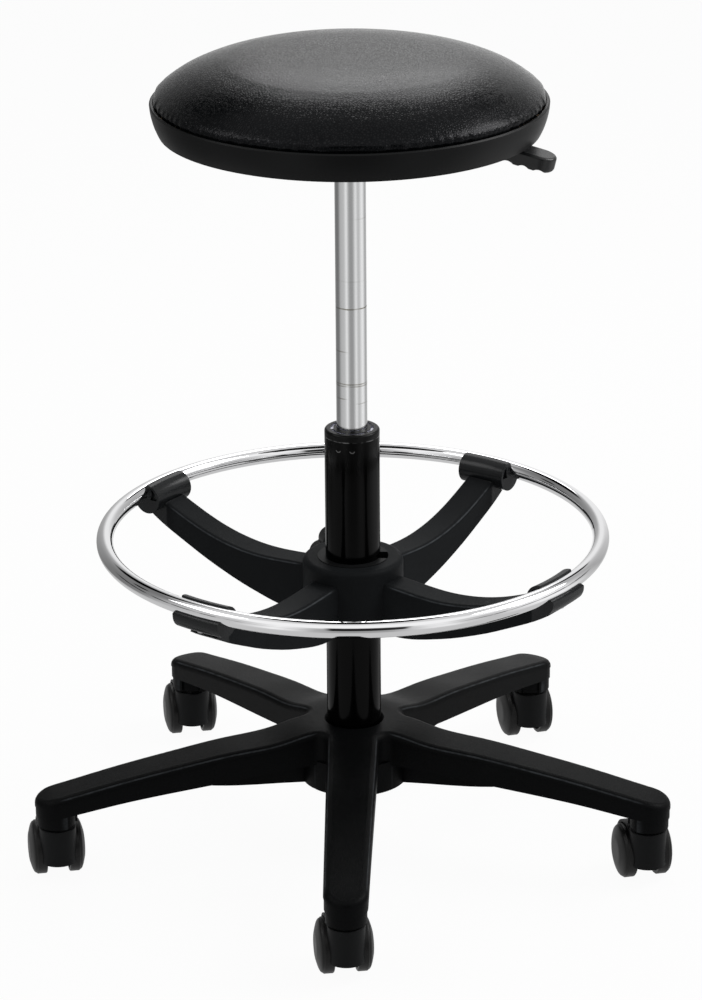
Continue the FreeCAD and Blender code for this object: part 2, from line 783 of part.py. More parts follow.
def make_seat_pan():
    flare = (seam_r - rim_bottom_r) / (seam_z - rim_bottom)
    top = segment((seam_r - pan_wall, seam_z), (seam_r - 1.2, seam_z))
    lip = segment((seam_r - 1.2, seam_z), (seam_r, seam_z - 1.2))
    skin = curve([(seam_r, seam_z - 1.2), (seam_r - 2.2, seam_z - 14), (rim_bottom_r, rim_bottom)])
    inner = rim_bottom_r - pan_wall
    floor_r = inner + (pan_floor - rim_bottom) * flare
    board_r = floor_r + pan_wall * flare
    edges = [top, lip, skin, segment((rim_bottom_r, rim_bottom), (inner, rim_bottom)),
             segment((inner, rim_bottom), (floor_r, pan_floor)),
             segment((floor_r, pan_floor), (pan_hole_r, pan_floor)),
             segment((pan_hole_r, pan_floor), (pan_hole_r, pan_floor + pan_wall)),
             segment((pan_hole_r, pan_floor + pan_wall), (board_r, pan_floor + pan_wall)),
             segment((board_r, pan_floor + pan_wall), (seam_r - pan_wall, seam_z))]
    pan = spun(section(edges))
    return pan.cut(bolt_group(bolt_r + 0.3, pan_floor - 1, pan_floor + pan_wall + 1))


def board_level():
    return pan_floor + pan_wall + 0.02


def board_radius():
    flare = (seam_r - rim_bottom_r) / (seam_z - rim_bottom)
    return rim_bottom_r - pan_wall + (pan_floor + pan_wall - rim_bottom) * flare - seat_gap


def bolt_spots():
    return [(sx * bolt_x / 2, sy * bolt_y / 2) for sx in (-1, 1) for sy in (-1, 1)]


def bolt_group(radius, low, high):
    # the same round piece at the plate's four bolts
    pieces = [turned(rod(radius, low, high, x, y), lever_turn) for x, y in bolt_spots()]
    return Part.makeCompound(pieces)


def make_seat_board():
    low = board_level()
    high = low + board_thick
    board = rod(board_radius(), low, high)
    board = board.cut(bolt_group(nut_barrel_r + run_gap, low - 1, high + 1))
    board = board.cut(bolt_group(nut_flange_r + run_gap, high - nut_flange - run_gap, high + 1))
    return board.cut(rod(pin_r + 8, low - 1, high + 1))


def make_t_nuts():
    high = board_level() + board_thick
    nuts = []
    for x, y in bolt_spots():
        nut = rod(nut_flange_r, high - nut_flange, high, x, y)
        nut = nut.fuse(rod(nut_barrel_r, board_level() + 1.5, high, x, y)).removeSplitter()
        nuts.append(turned(nut.cut(rod(bolt_r + run_gap, board_level(), high + 1, x, y)), lever_turn))
    return Part.makeCompound(nuts)


def plate_level():
    return pan_floor - plate_thick - 0.02


def make_seat_screws():
    screws = []
    for x, y in bolt_spots():
        head = rod(bolt_head_r, plate_level() - bolt_head, plate_level() - 0.02, x, y)
        crest = [e for e in head.Edges if e.BoundBox.ZMax < plate_level() - bolt_head + 0.01]
        head = head.makeFillet(1.2, crest)
        shank = rod(bolt_r, plate_level() - 0.5, board_level() + board_thick - 1.0, x, y)
        drive = rod(1.8, plate_level() - bolt_head - 1, plate_level() - bolt_head + 1.4, x, y)
        screws.append(turned(head.fuse(shank).removeSplitter().cut(drive), lever_turn))
    return Part.makeCompound(screws)


def cushion_top():
    # upper line of the cushion in three arcs, from its edge over the seam to the middle
    edge_r = seam_r - seat_gap
    base = seam_z + seat_gap
    shares = ((1.0, 0.0), (0.968, 0.19), (0.92, 0.35), (0.80, 0.61), (0.60, 0.86))
    points = [V(edge_r * a, 0, base + crown * b) for a, b in shares]
    shoulder = points[-1]
    top = V(0, 0, base + crown)
    across = Part.Arc(shoulder, top, V(-shoulder.x, 0, shoulder.z))
    quarter = across.value(0.75 * across.FirstParameter + 0.25 * across.LastParameter)
    arcs = (points[0:3], points[2:5], (shoulder, quarter, top))
    return [Part.Arc(*three).toShape() for three in arcs]


def make_seat_cushion():
    tuck_r = board_radius() - seat_gap
    under = board_level() + board_thick + seat_gap
    base = seam_z + seat_gap
    edges = cushion_top() + [segment((0, base + crown), (0, under)),
                             segment((0, under), (tuck_r, under)),
                             segment((tuck_r, under), (tuck_r, base)),
                             segment((tuck_r, base), (seam_r - seat_gap, base))]
    return spun(section(edges))


def make_seat_plate():
    z = plate_level()
    plate = block(-plate_long / 2, plate_long / 2, -plate_wide / 2, plate_wide / 2, z, z + plate_thick)
    corners = [e for e in plate.Edges if e.BoundBox.ZLength > plate_thick - 0.01]
    plate = plate.makeFillet(plate_corner, corners)
    flanges = []
    for side in (-1, 1):
        y0, y1 = sorted((side * plate_wide / 2, side * (plate_wide / 2 - plate_thick)))
        flange = block(-plate_long / 2 + plate_corner, plate_long / 2 - plate_corner, y0, y1,
                       z - plate_flange, z + plate_thick)
        lower = [e for e in flange.Edges
                 if e.BoundBox.YLength > 1 and e.BoundBox.ZMax < z - plate_flange + 0.01]
        flanges.append(flange.makeFillet(5.0, lower))
        y0, y1 = sorted((side * ear_half, side * (ear_half + ear_thick)))
        flanges.append(block(pivot_at - 8, pivot_at + 8, y0, y1, lever_z - 7, z + 1))
    plate = joined([plate] + flanges)
    plate = plate.cut(Part.makeCylinder(pivot_r + run_gap, plate_wide, V(pivot_at, -plate_wide / 2, lever_z),
                                        V(0, 1, 0)))
    slot = block(-14, 14, -3, 3, z - 1, z + plate_thick + 1)
    slots = []
    for x in (-48, 0):
        copy = slot.copy()
        copy.translate(V(x, plate_wide / 4 + 4, 0))
        mirror = slot.copy()
        mirror.translate(V(x, -plate_wide / 4 - 4, 0))
        slots += [copy, mirror]
    plate = turned(plate.cut(Part.makeCompound(slots)), lever_turn)
    return plate.cut(bolt_group(bolt_r + 0.3, z - 1, z + plate_thick + 1))


def make_taper_socket():
    # sleeve welded under the plate: its arch leaves the release pin and the lever's tail free
    shoulder = lift_top - lift_taper_length
    top = plate_level() - 0.02
    outer = lift_r + taper_socket_wall
    socket = rod(outer, taper_socket_foot, top)
    slope = lift_taper_drop / lift_taper_length
    low_r = lift_r + run_gap + (shoulder - taper_socket_foot + 1) * slope
    high_r = lift_r - lift_taper_drop + run_gap - (top - lift_top + 1) * slope
    socket = socket.cut(cone(low_r, high_r, taper_socket_foot - 1, top + 1))
    flare = cone(outer, outer + 9.0, top - 9.0, top).cut(rod(outer - 1, top - 10, top + 1))
    socket = socket.fuse(flare).removeSplitter()
    gate = block(-outer - 12, outer + 12, -lever_strap_width / 2 - 1.2, lever_strap_width / 2 + 1.2,
                 lever_z - lever_r - 4.2, top + 1)
    return turned(socket.cut(gate), lever_turn)


# ---------------------------------------------------------------- lever

def lever_drop(along):
    return lever_z - (along - lever_bend_at) * math.tan(math.radians(lever_slope))


def make_lever_rod():
    slope = math.radians(lever_slope)
    bend_r = 30.0
    back = bend_r * math.tan(slope / 2)
    start = V(lever_strap_end - 6, 0, lever_z)
    a = V(lever_bend_at - back, 0, lever_z)
    c = V(lever_bend_at + back * math.cos(slope), 0, lever_z - back * math.sin(slope))
    middle = V(lever_bend_at - back + bend_r * math.sin(slope / 2), 0,
               lever_z - bend_r * (1 - math.cos(slope / 2)))
    tip = V(grip_end - 12, 0, lever_drop(grip_end - 12))
    path = Part.Wire([Part.LineSegment(start, a).toShape(), Part.Arc(a, middle, c).toShape(),
                      Part.LineSegment(c, tip).toShape()])
    round_bar = path.makePipeShell([Part.Wire(Part.makeCircle(lever_r, start, V(1, 0, 0)))], True, False)
    strap = block(-lever_tail, lever_strap_end, -lever_strap_width / 2, lever_strap_width / 2,
                  lever_z - lever_r + 0.6, lever_z + lever_r - 0.6)
    tail = [e for e in strap.Edges if e.BoundBox.ZLength > 1]
    strap = strap.makeFillet(3.0, tail)
    lever = strap.fuse(round_bar).removeSplitter()
    lever = lever.cut(Part.makeCylinder(pivot_r + run_gap, 40, V(pivot_at, -20, lever_z), V(0, 1, 0)))
    return turned(lever, lever_turn)


def make_lever_pivot_pin():
    half = ear_half + ear_thick + 1.5
    pin = Part.makeCylinder(pivot_r, 2 * half, V(pivot_at, -half, lever_z), V(0, 1, 0))
    pin = pin.makeChamfer(0.5, [e for e in pin.Edges if abs(abs(e.CenterOfMass.y) - half) < 0.01])
    return turned(pin, lever_turn)


def make_lever_grip():
    # paddle drawn flat along X, with its bent axis at height zero, then tipped down
    slope = math.radians(lever_slope)
    start = (grip_start - lever_bend_at) / math.cos(slope)
    end = (grip_end - lever_bend_at) / math.cos(slope)
    widest = start + 16
    round_at = end - grip_half
    neck = Part.BSplineCurve()
    neck.interpolate(Points=[V(start, grip_neck, 0), V((start + widest) / 2, (grip_neck + grip_half) / 2, 0),
                             V(widest, grip_half, 0)], InitialTangent=V(1, 0.1, 0), FinalTangent=V(1, 0, 0))
    upper = neck.toShape()
    lower = upper.copy().mirror(V(0, 0, 0), V(0, 1, 0))
    plan = Part.Face(Part.Wire(Part.__sortEdges__([
        Part.LineSegment(V(start, -grip_neck, 0), V(start, grip_neck, 0)).toShape(), upper, lower,
        Part.LineSegment(V(widest, grip_half, 0), V(round_at, grip_half, 0)).toShape(),
        Part.LineSegment(V(widest, -grip_half, 0), V(round_at, -grip_half, 0)).toShape(),
        Part.Arc(V(round_at, grip_half, 0), V(end, 0, 0), V(round_at, -grip_half, 0)).toShape()])))
    plan.translate(V(0, 0, -grip_below))
    grip = plan.extrude(V(0, 0, grip_above + grip_below))
    level = [e for e in grip.Edges if e.BoundBox.ZLength < 0.01]
    grip = grip.makeFillet(grip_edge, [e for e in level if e.BoundBox.ZMin > 0])
    keel = [e for e in grip.Edges if e.BoundBox.ZMax < 0.01 - grip_below]
    grip = grip.makeFillet(grip_keel, keel)
    wave_r = (wave_pitch * 0.36) ** 2 / (2 * wave_depth) + wave_depth / 2
    for i in range(wave_count):
        x = end - wave_end - wave_pitch * (i + 0.5)
        foot = wave_depth - grip_below - wave_r
        wave = Part.makeCylinder(wave_r, 4 * grip_half, V(x, -2 * grip_half, foot), V(0, 1, 0))
        grip = grip.cut(wave)
    hole = end - 12 / math.cos(slope) + 1.5
    grip = grip.cut(Part.makeCylinder(lever_r + 0.02, hole, V(0, 0, 0), V(1, 0, 0)))
    grip.rotate(V(0, 0, 0), V(0, 1, 0), lever_slope)
    grip.translate(V(lever_bend_at, 0, lever_z))
    return turned(grip, lever_turn)


# ---------------------------------------------------------------- export

def build():
    parts = {
        "base_star": make_base_star(),
        "stem_sockets": make_stem_sockets(),
        "outer_column": make_outer_column(),
        "column_floor": make_column_floor(),
        "guide_bush": make_guide_bush(),
        "lower_race": make_lower_race(),
        "bearing_balls": make_bearing_balls(),
        "bearing_cage": make_bearing_cage(),
        "upper_race": make_upper_race(),
        "bump_rubber": make_bump_rubber(),
        "piston_rod": make_piston_rod(),
        "piston": make_piston(),
        "retaining_clip": make_retaining_clip(),
        "gas_cylinder": make_gas_cylinder(),
        "release_pin": make_release_pin(),
        "split_sleeve": make_split_sleeve(),
        "ring_spider": make_ring_spider(),
        "foot_ring": make_foot_ring(),
        "ring_screws": make_ring_screws(),
        "knob_insert": make_knob_insert(),
        "clamp_pad": make_clamp_pad(),
        "knob_stud": make_knob_stud(),
        "lock_knob": make_lock_knob(),
        "seat_pan": make_seat_pan(),
        "seat_board": make_seat_board(),
        "t_nuts": make_t_nuts(),
        "seat_screws": make_seat_screws(),
        "seat_cushion": make_seat_cushion(),
        "seat_plate": make_seat_plate(),
        "taper_socket": make_taper_socket(),
        "lever_rod": make_lever_rod(),
        "lever_pivot_pin": make_lever_pivot_pin(),
        "lever_grip": make_lever_grip(),
    }
    caster = {
        "caster_hood": make_caster_hood(),
        "caster_stem": make_caster_stem(),
        "caster_axle": make_caster_axle(),
        "wheel_left": make_wheel(-1),
        "wheel_right": make_wheel(1),
    }
    for index in range(leg_count):
        for name, shape in caster.items():
            parts["%s_%d" % (name, index + 1)] = placed(shape, index)
    return parts


def main():
    os.makedirs("parts", exist_ok=True)
    for name, shape in build().items():
        shape.exportStep("parts/%s.step" % name)
        print(name, len(shape.Solids), round(shape.Volume / 1000.0, 2), shape.isValid())


main()
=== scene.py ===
import json
import math
import bmesh
import bpy
from mathutils import Matrix, Vector


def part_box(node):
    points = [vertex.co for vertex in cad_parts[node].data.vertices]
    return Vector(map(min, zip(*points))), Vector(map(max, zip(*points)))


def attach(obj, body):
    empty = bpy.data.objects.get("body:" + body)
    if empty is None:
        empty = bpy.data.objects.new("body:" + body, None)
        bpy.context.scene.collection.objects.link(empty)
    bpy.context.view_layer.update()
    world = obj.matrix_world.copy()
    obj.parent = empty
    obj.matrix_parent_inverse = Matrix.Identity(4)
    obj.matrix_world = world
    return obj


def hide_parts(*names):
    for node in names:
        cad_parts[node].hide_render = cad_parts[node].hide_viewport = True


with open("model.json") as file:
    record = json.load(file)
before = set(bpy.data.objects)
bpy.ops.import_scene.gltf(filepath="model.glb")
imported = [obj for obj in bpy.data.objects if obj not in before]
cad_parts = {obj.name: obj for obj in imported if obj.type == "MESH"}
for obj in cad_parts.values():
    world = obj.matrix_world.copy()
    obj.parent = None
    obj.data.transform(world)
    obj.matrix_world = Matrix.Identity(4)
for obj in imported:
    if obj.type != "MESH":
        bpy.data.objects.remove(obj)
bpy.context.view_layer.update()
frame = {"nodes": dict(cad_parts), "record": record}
nodes = frame["nodes"]
scene = bpy.context.scene


# camera
shot = {
    "at": (0.0, -3.4686, 1.6580),
    "tiltDown": 0.36343,
    "roll": -0.00758,
    "lens": 147.214,
    "sensor": 36.0,
    "shiftX": -0.00155,
    "clip": (0.1, 60.0),
}


def setCamera():
    lensData = bpy.data.cameras.new("stoolCamera")
    lensData.lens = shot["lens"]
    lensData.sensor_width = shot["sensor"]
    lensData.shift_x = shot["shiftX"]
    lensData.clip_start, lensData.clip_end = shot["clip"]
    camera = bpy.data.objects.new("stoolCamera", lensData)
    scene.collection.objects.link(camera)
    aim = Matrix.Rotation(math.pi / 2 - shot["tiltDown"], 4, "X")
    aim = aim @ Matrix.Rotation(shot["roll"], 4, "Z")
    camera.matrix_world = Matrix.Translation(shot["at"]) @ aim
    scene.camera = camera
    scene.view_settings.view_transform = "Standard"


# a node socket that takes part in Python arithmetic
class Wire:
    def __init__(self, tree, socket=None):
        self.tree = tree
        self.socket = socket

    # adds a node: its settings go in first, then values or wires by input name or number
    def node(self, kind, settings=None, inputs=None, out=0):
        made = self.tree.nodes.new(kind)
        for name, value in (settings or {}).items():
            if name == "stops":
                self.setStops(made.color_ramp, value)
            else:
                setattr(made, name, value)
        for key, value in (inputs or {}).items():
            if isinstance(value, Wire):
                self.tree.links.new(value.socket, made.inputs[key])
            else:
                made.inputs[key].default_value = value
        return Wire(self.tree, made.outputs[out]) if made.outputs else made

    @staticmethod
    def setStops(ramp, stops):
        while len(ramp.elements) > len(stops):
            ramp.elements.remove(ramp.elements[-1])
        while len(ramp.elements) < len(stops):
            ramp.elements.new(1.0)
        for element, (place, value) in zip(ramp.elements, stops):
            element.position = place
            element.color = (value, value, value, 1.0)

    def maths(self, operation, *values):
        return self.node("ShaderNodeMath", {"operation": operation}, dict(enumerate(values)))

    def __add__(self, other):
        return self.maths("ADD", self, other)

    def __radd__(self, other):
        return self.maths("ADD", other, self)

    def __sub__(self, other):
        return self.maths("SUBTRACT", self, other)

    def __rsub__(self, other):
        return self.maths("SUBTRACT", other, self)

    def __mul__(self, other):
        return self.maths("MULTIPLY", self, other)

    def __rmul__(self, other):
        return self.maths("MULTIPLY", other, self)

    def __truediv__(self, other):
        return self.maths("DIVIDE", self, other)

    def __pow__(self, other):
        return self.maths("POWER", self, other)

    def within(self, low, high):  # 1 above high, 0 below low, smooth between
        settings = {"interpolation_type": "SMOOTHSTEP"}
        return self.node("ShaderNodeMapRange", settings, {0: self, 1: low, 2: high})

    def colours(self, first, second):  # self is the share of the second colour
        settings = {"data_type": "RGBA"}
        return self.node("ShaderNodeMix", settings, {0: self, 6: first, 7: second}, out=2)

    def bump(self, strength, distance, under=None):
        inputs = {"Height": self, "Strength": strength, "Distance": distance}
        if under:
            inputs["Normal"] = under
        return self.node("ShaderNodeBump", None, inputs)


def grey(level, warm=0.0):
    return (level * (1 + warm), level, level * (1 - warm), 1.0)


# share round a place along one axis: 1 within half, 0 beyond twice that
def bandAt(wire, along, place, half):
    return 1 - wire.maths("ABSOLUTE", along - place).within(half, 2 * half)


# a new material: returns it with its tree's wire and its shader node
def newMaterial(name):
    material = bpy.data.materials.new(name)
    material.use_nodes = True
    tree = material.node_tree
    tree.nodes.clear()
    shader = tree.nodes.new("ShaderNodeBsdfPrincipled")
    output = tree.nodes.new("ShaderNodeOutputMaterial")
    tree.links.new(shader.outputs[0], output.inputs[0])
    return material, Wire(tree), shader


def feed(shader, values):
    for key, value in values.items():
        if isinstance(value, Wire):
            value.tree.links.new(value.socket, shader.inputs[key])
        else:
            shader.inputs[key].default_value = value


def objectPlace(wire, turn=(0, 0, 0), centre=(0, 0, 0), scale=(1, 1, 1)):
    place = wire.node("ShaderNodeTexCoord", out=3)
    inputs = {"Vector": place, "Location": centre, "Rotation": turn, "Scale": scale}
    return wire.node("ShaderNodeMapping", None, inputs)


def noiseAt(wire, place, scale, detail=2.0, roughness=0.5):
    inputs = {"Vector": place, "Scale": scale, "Detail": detail, "Roughness": roughness}
    return wire.node("ShaderNodeTexNoise", None, inputs)


def distanceTo(wire, place, middle):
    settings = {"operation": "DISTANCE"}
    return wire.node("ShaderNodeVectorMath", settings, {0: place, 1: middle}, out=1)


def partsOf(wire, place, count=3):
    return [wire.node("ShaderNodeSeparateXYZ", None, {0: place}, out=axis) for axis in range(count)]


# painted highlight strip along the upper edges of arms or legs that stand round the column
def edgeHighlightStrip(wire, place, star):
    turn = (0, 0, -math.radians(star["turn"]))
    turned = wire.node("ShaderNodeMapping", {"vector_type": "POINT"}, {0: place, 2: turn})
    sides = partsOf(wire, turned, 2)
    step = math.tau / star["count"]
    angle = wire.maths("ARCTAN2", sides[1], sides[0]) + math.tau + step / 2
    angle = wire.maths("MODULO", angle, step) - step / 2
    reach = (sides[0] * sides[0] + sides[1] * sides[1]) ** 0.5
    aside = wire.maths("ABSOLUTE", reach * wire.maths("SINE", angle))
    half = star["half"] - reach * wire.maths("COSINE", angle) * star["draft"]
    away = wire.maths("ABSOLUTE", aside - half)
    highlightStrip = 1 - away.within(0.3 * star["wide"], star["wide"])
    highlightStrip = highlightStrip * reach.within(star["from"], star["from"] + star["fade"])
    return highlightStrip * (1 - reach.within(star["to"] - star["fade"], star["to"])), reach


# what all moulded plastics share
mould = {
    "cloudPerMetre": 14.0,  # large rubbed patches
    "cloudDeep": 0.0006,
    "rubbed": (0.5, 0.75),
    "specks": (0.62, 0.8),
    "highlightPatchesPerMetre": 90.0,
    "wearAndSheen": (0.3, 0.65),
    "capsRoughness": 0.22,
}


# moulded nylon and other plastics: colour, fine tooled grain, rubbed patches and a painted
# highlight line along the upper edges
def mouldedPlastic(name, finish):
    material, wire, shader = newMaterial(name)
    place = objectPlace(wire)
    grain = noiseAt(wire, place, finish["grainPerMetre"], 3.0, 0.6)
    cloud = noiseAt(wire, place, mould["cloudPerMetre"], 4.0, 0.6)
    rubbed = cloud.within(*mould["rubbed"])
    blue = -finish["blue"]
    dark = grey(finish["colour"], blue)
    pale = grey(finish["colour"] * finish["rubbed"], blue)
    speck = grain.within(*mould["specks"])
    colour = (rubbed * 0.6 + speck * 0.4).colours(dark, pale)
    rough = finish["roughness"] + (cloud - 0.5) * finish["patchy"] + (grain - 0.5) * 0.12
    normal = grain.bump(finish["grain"], finish["grainDeep"])
    normal = cloud.bump(0.25, mould["cloudDeep"], normal)
    star = finish.get("star")
    if star:
        highlightStrip, reach = edgeHighlightStrip(wire, place, star)
        wearAndSheen = noiseAt(wire, place, mould["highlightPatchesPerMetre"], 3.0, 0.7).within(*mould["wearAndSheen"])
        # paler grey along the upper edges: a painted highlight, made patchy by noise
        colour = (highlightStrip * (0.35 + wearAndSheen * 0.65)).colours(colour, grey(star["wearAndSheen"], blue))
        if "capsFrom" in star:
            caps = reach.within(star["capsFrom"], star["capsFrom"] + 0.002)
            caps = caps * star["capsCoat"]
            feed(shader, {"Coat Weight": caps, "Coat Roughness": mould["capsRoughness"]})
    feed(shader, {
        "Base Color": colour,
        "Roughness": rough,
        "Normal": normal,
        "Specular IOR Level": finish["gloss"],
    })
    return material


# where the painted highlight lines run along the legs' upper edges: half a leg's width, its draft,
# the strip's width and its ends, and the highlight's grey
legEdgeHighlights = {
    "count": 5,
    "turn": -91.68,
    "half": 0.02245,
    "draft": 0.0157,
    "wide": 0.0008,
    "from": 0.045,
    "to": 0.286,
    "fade": 0.01,
    "wearAndSheen": 0.05,
}
# painted highlight lines along the arms' upper edges
armEdgeHighlights = {
    "count": 4,
    "turn": 54.0,
    "half": 0.0137,
    "draft": 0.0,
    "wide": 0.0006,
    "from": 0.049,
    "to": 0.205,
    "fade": 0.01,
    "wearAndSheen": 0.07,
    "capsFrom": 0.2045,  # the clips round the ring are glossier
    "capsCoat": 0.4,
}
plastics = {
    "base_nylon": {
        "colour": 0.0035, "blue": 0.08, "roughness": 0.42, "patchy": 0.16, "rubbed": 1.8,
        "gloss": 0.05, "grainPerMetre": 900.0, "grain": 0.6, "grainDeep": 0.0004, "star": legEdgeHighlights,
    },
    "ring_nylon": {
        "colour": 0.013, "blue": 0.08, "roughness": 0.5, "patchy": 0.12, "rubbed": 1.4,
        "gloss": 0.03, "grainPerMetre": 1500.0, "grain": 0.4, "grainDeep": 0.0003, "star": armEdgeHighlights,
    },
    "sleeve_nylon": {
        "colour": 0.008, "blue": 0.04, "roughness": 0.5, "patchy": 0.12, "rubbed": 1.5,
        "gloss": 0.08, "grainPerMetre": 1300.0, "grain": 0.3, "grainDeep": 0.0002,
    },
    "caster_nylon": {
        "colour": 0.006, "blue": 0.08, "roughness": 0.45, "patchy": 0.14, "rubbed": 1.5,
        "gloss": 0.12, "grainPerMetre": 1400.0, "grain": 0.3, "grainDeep": 0.0002,
    },
    "wheel_nylon": {
        "colour": 0.008, "blue": 0.0, "roughness": 0.38, "patchy": 0.2, "rubbed": 1.9,
        "gloss": 0.24, "grainPerMetre": 700.0, "grain": 0.22, "grainDeep": 0.0002,
    },
    "knob_plastic": {
        "colour": 0.008, "blue": 0.0, "roughness": 0.4, "patchy": 0.12, "rubbed": 1.6,
        "gloss": 0.2, "grainPerMetre": 1200.0, "grain": 0.25, "grainDeep": 0.0002,
    },
    "grip_plastic": {
        "colour": 0.012, "blue": 0.05, "roughness": 0.3, "patchy": 0.14, "rubbed": 1.5,
        "gloss": 0.35, "grainPerMetre": 1600.0, "grain": 0.2, "grainDeep": 0.00015,
    },
    "pan_plastic": {
        "colour": 0.003, "blue": 0.1, "roughness": 0.36, "patchy": 0.08, "rubbed": 1.25,
        "gloss": 0.14, "grainPerMetre": 1700.0, "grain": 0.3, "grainDeep": 0.00015,
    },
    "rubber_black": {
        "colour": 0.012, "blue": 0.0, "roughness": 0.7, "patchy": 0.1, "rubbed": 1.6,
        "gloss": 0.3, "grainPerMetre": 1000.0, "grain": 0.3, "grainDeep": 0.0002,
    },
}


# seat cover: coated cloth pressed with a pebbled leather grain, and faint long creases
vinyl = {
    "colour": 0.0045,
    "blue": 0.14,
    "roughness": 0.17,
    "pebblesPerMetre": 430.0,
    "pebblesDeep": 0.00012,
    "finePerMetre": 2400.0,
    "fineDeep": 0.00015,
    "gloss": 0.08,
    "shine": 0.2,
    "shineRoughness": 0.17,
    "tint": (0.95, 0.93, 1.0, 1.0),
}


def seatVinyl():
    material, wire, shader = newMaterial("seatVinyl")
    place = objectPlace(wire)
    drift = noiseAt(wire, place, 260.0, 2.0)
    swayed = wire.node("ShaderNodeVectorMath", {"operation": "SCALE"}, {0: drift, 3: 0.0016})
    swayed = wire.node("ShaderNodeVectorMath", {"operation": "ADD"}, {0: place, 1: swayed})
    cells = wire.node("ShaderNodeTexVoronoi", {"feature": "DISTANCE_TO_EDGE"},
                      {"Vector": swayed, "Scale": vinyl["pebblesPerMetre"]})
    pebbles = cells.within(0.0, 0.4)
    fine = noiseAt(wire, place, vinyl["finePerMetre"], 2.0)
    patches = noiseAt(wire, place, 9.0, 3.0, 0.6)
    creasePlace = objectPlace(wire, turn=(0, 0, 0.05), scale=(7.0, 42.0, 42.0))
    creases = noiseAt(wire, creasePlace, 1.0, 3.0, 0.55)
    lines = (creases - 0.5).maths("ABSOLUTE", creases - 0.5).within(0.0, 0.02)
    dark = grey(vinyl["colour"] * 0.7, -vinyl["blue"])
    pale = grey(vinyl["colour"] * 1.3, -vinyl["blue"])
    normal = pebbles.bump(1.0, vinyl["pebblesDeep"])
    normal = fine.bump(0.2, vinyl["fineDeep"], normal)
    feed(shader, {
        "Base Color": (pebbles * 0.6 + patches * 0.4).colours(dark, pale),
        "Roughness": vinyl["roughness"] + (patches - 0.5) * 0.18 - pebbles * 0.06,
        "Normal": lines.bump(0.1, 0.0004, normal),
        "Coat Weight": (pebbles + (fine - 0.5)) * vinyl["shine"],
        "Coat Roughness": vinyl["shineRoughness"],
        "Specular IOR Level": vinyl["gloss"],
        "Specular Tint": vinyl["tint"],
    })
    return material


# gas lift body: stoved gloss black with a slight orange peel, a painted highlight line along its
# upper edge and painted highlights on the lower lips of the stake marks
columnFacts = {
    "colour": 0.0006,
    "gloss": 0.09,
    "edge": 0.4027,  # height of the painted highlight line
    "stakes": ((-0.0125, -0.0217), (0.0, -0.025)),  # centres of the front stake marks, x and y
    "stakeHeight": 0.395,
    "stakeRadius": 0.0021,
    "dust": 0.006,
    # grey of the painted highlights on the top edge and the stake lips
    "paintedGlint": 0.2,
}


def columnBlack():
    material, wire, shader = newMaterial("columnBlack")
    place = objectPlace(wire)
    along = wire.node("ShaderNodeSeparateXYZ", None, {0: place}, out=2)
    peel = noiseAt(wire, place, 170.0, 2.0)
    dust = noiseAt(wire, place, 900.0, 3.0, 0.7).within(0.7, 0.82)
    smears = noiseAt(wire, objectPlace(wire, scale=(30, 30, 4)), 1.0, 3.0, 0.6)
    # painted highlight: a patchy light line round the top edge
    paintedGlint = bandAt(wire, along, columnFacts["edge"], 0.0004)
    paintedGlint = paintedGlint * noiseAt(wire, place, 130.0, 2.0).within(0.35, 0.6)
    # painted highlight on the lower lip of each stake mark
    for x, y in columnFacts["stakes"]:
        middle = (x, y, columnFacts["stakeHeight"])
        away = distanceTo(wire, place, middle)
        lip = bandAt(wire, away, columnFacts["stakeRadius"], 0.0003)
        lip = lip * (middle[2] - along).within(0.0, 0.001)
        paintedGlint = paintedGlint + lip * 0.8
    paint = dust.colours(grey(columnFacts["colour"]), grey(columnFacts["dust"]))
    feed(shader, {
        "Base Color": paintedGlint.colours(paint, grey(columnFacts["paintedGlint"])),
        "Roughness": 0.1 + smears * 0.1 + dust * 0.2,
        "Normal": peel.bump(0.05, 0.0005),
        "Specular IOR Level": columnFacts["gloss"],
    })
    return material


# guide bush with a bright spring ring let into its face
bushFacts = {
    "colour": 0.003,
    "gloss": 0.12,
    "roughness": 0.3,
    "ringColour": (0.5, 0.5, 0.56, 1.0),
    "ringFrom": 0.01705,
    "ringTo": 0.01965,
    "ringSoft": 0.0002,
    "level": 0.4084,  # height of the ring's face
}


def bushBlack():
    material, wire, shader = newMaterial("bushBlack")
    place = objectPlace(wire)
    parts = partsOf(wire, place)
    reach = (parts[0] * parts[0] + parts[1] * parts[1]) ** 0.5
    start, end, soft = (bushFacts[key] for key in ("ringFrom", "ringTo", "ringSoft"))
    ring = reach.within(start - soft, start) * (1 - reach.within(end, end + soft))
    ring = ring * (1 - parts[2].within(bushFacts["level"], bushFacts["level"] + 0.0003))
    ring = ring * parts[2].within(0.4, 0.401)
    scuffs = noiseAt(wire, place, 300.0, 3.0, 0.6)
    plastic = scuffs.colours(grey(bushFacts["colour"]), grey(bushFacts["colour"] * 2))
    feed(shader, {
        "Base Color": ring.colours(plastic, bushFacts["ringColour"]),
        "Metallic": ring,
        "Roughness": bushFacts["roughness"] + (scuffs - 0.5) * 0.15,
        "Normal": scuffs.bump(0.15, 0.0002),
        "Specular IOR Level": bushFacts["gloss"],
    })
    return material


# seat plate: powder coat with a fine orange peel
plateFacts = {
    "colour": 0.012,
    "wearAndSheen": 0.025,
    "peelPerMetre": 650.0,
    "roughness": 0.42,
    "gloss": 0.4,
}


def plateBlack():
    material, wire, shader = newMaterial("plateBlack")
    place = objectPlace(wire)
    peel = noiseAt(wire, place, plateFacts["peelPerMetre"], 3.0, 0.6)
    wearAndSheen = noiseAt(wire, place, 40.0, 4.0, 0.6).within(0.6, 0.8)
    feed(shader, {
        "Base Color": wearAndSheen.colours(grey(plateFacts["colour"]), grey(plateFacts["wearAndSheen"])),
        "Roughness": plateFacts["roughness"] + peel * 0.2,
        "Normal": peel.bump(0.3, 0.0003),
        "Specular IOR Level": plateFacts["gloss"],
    })
    return material


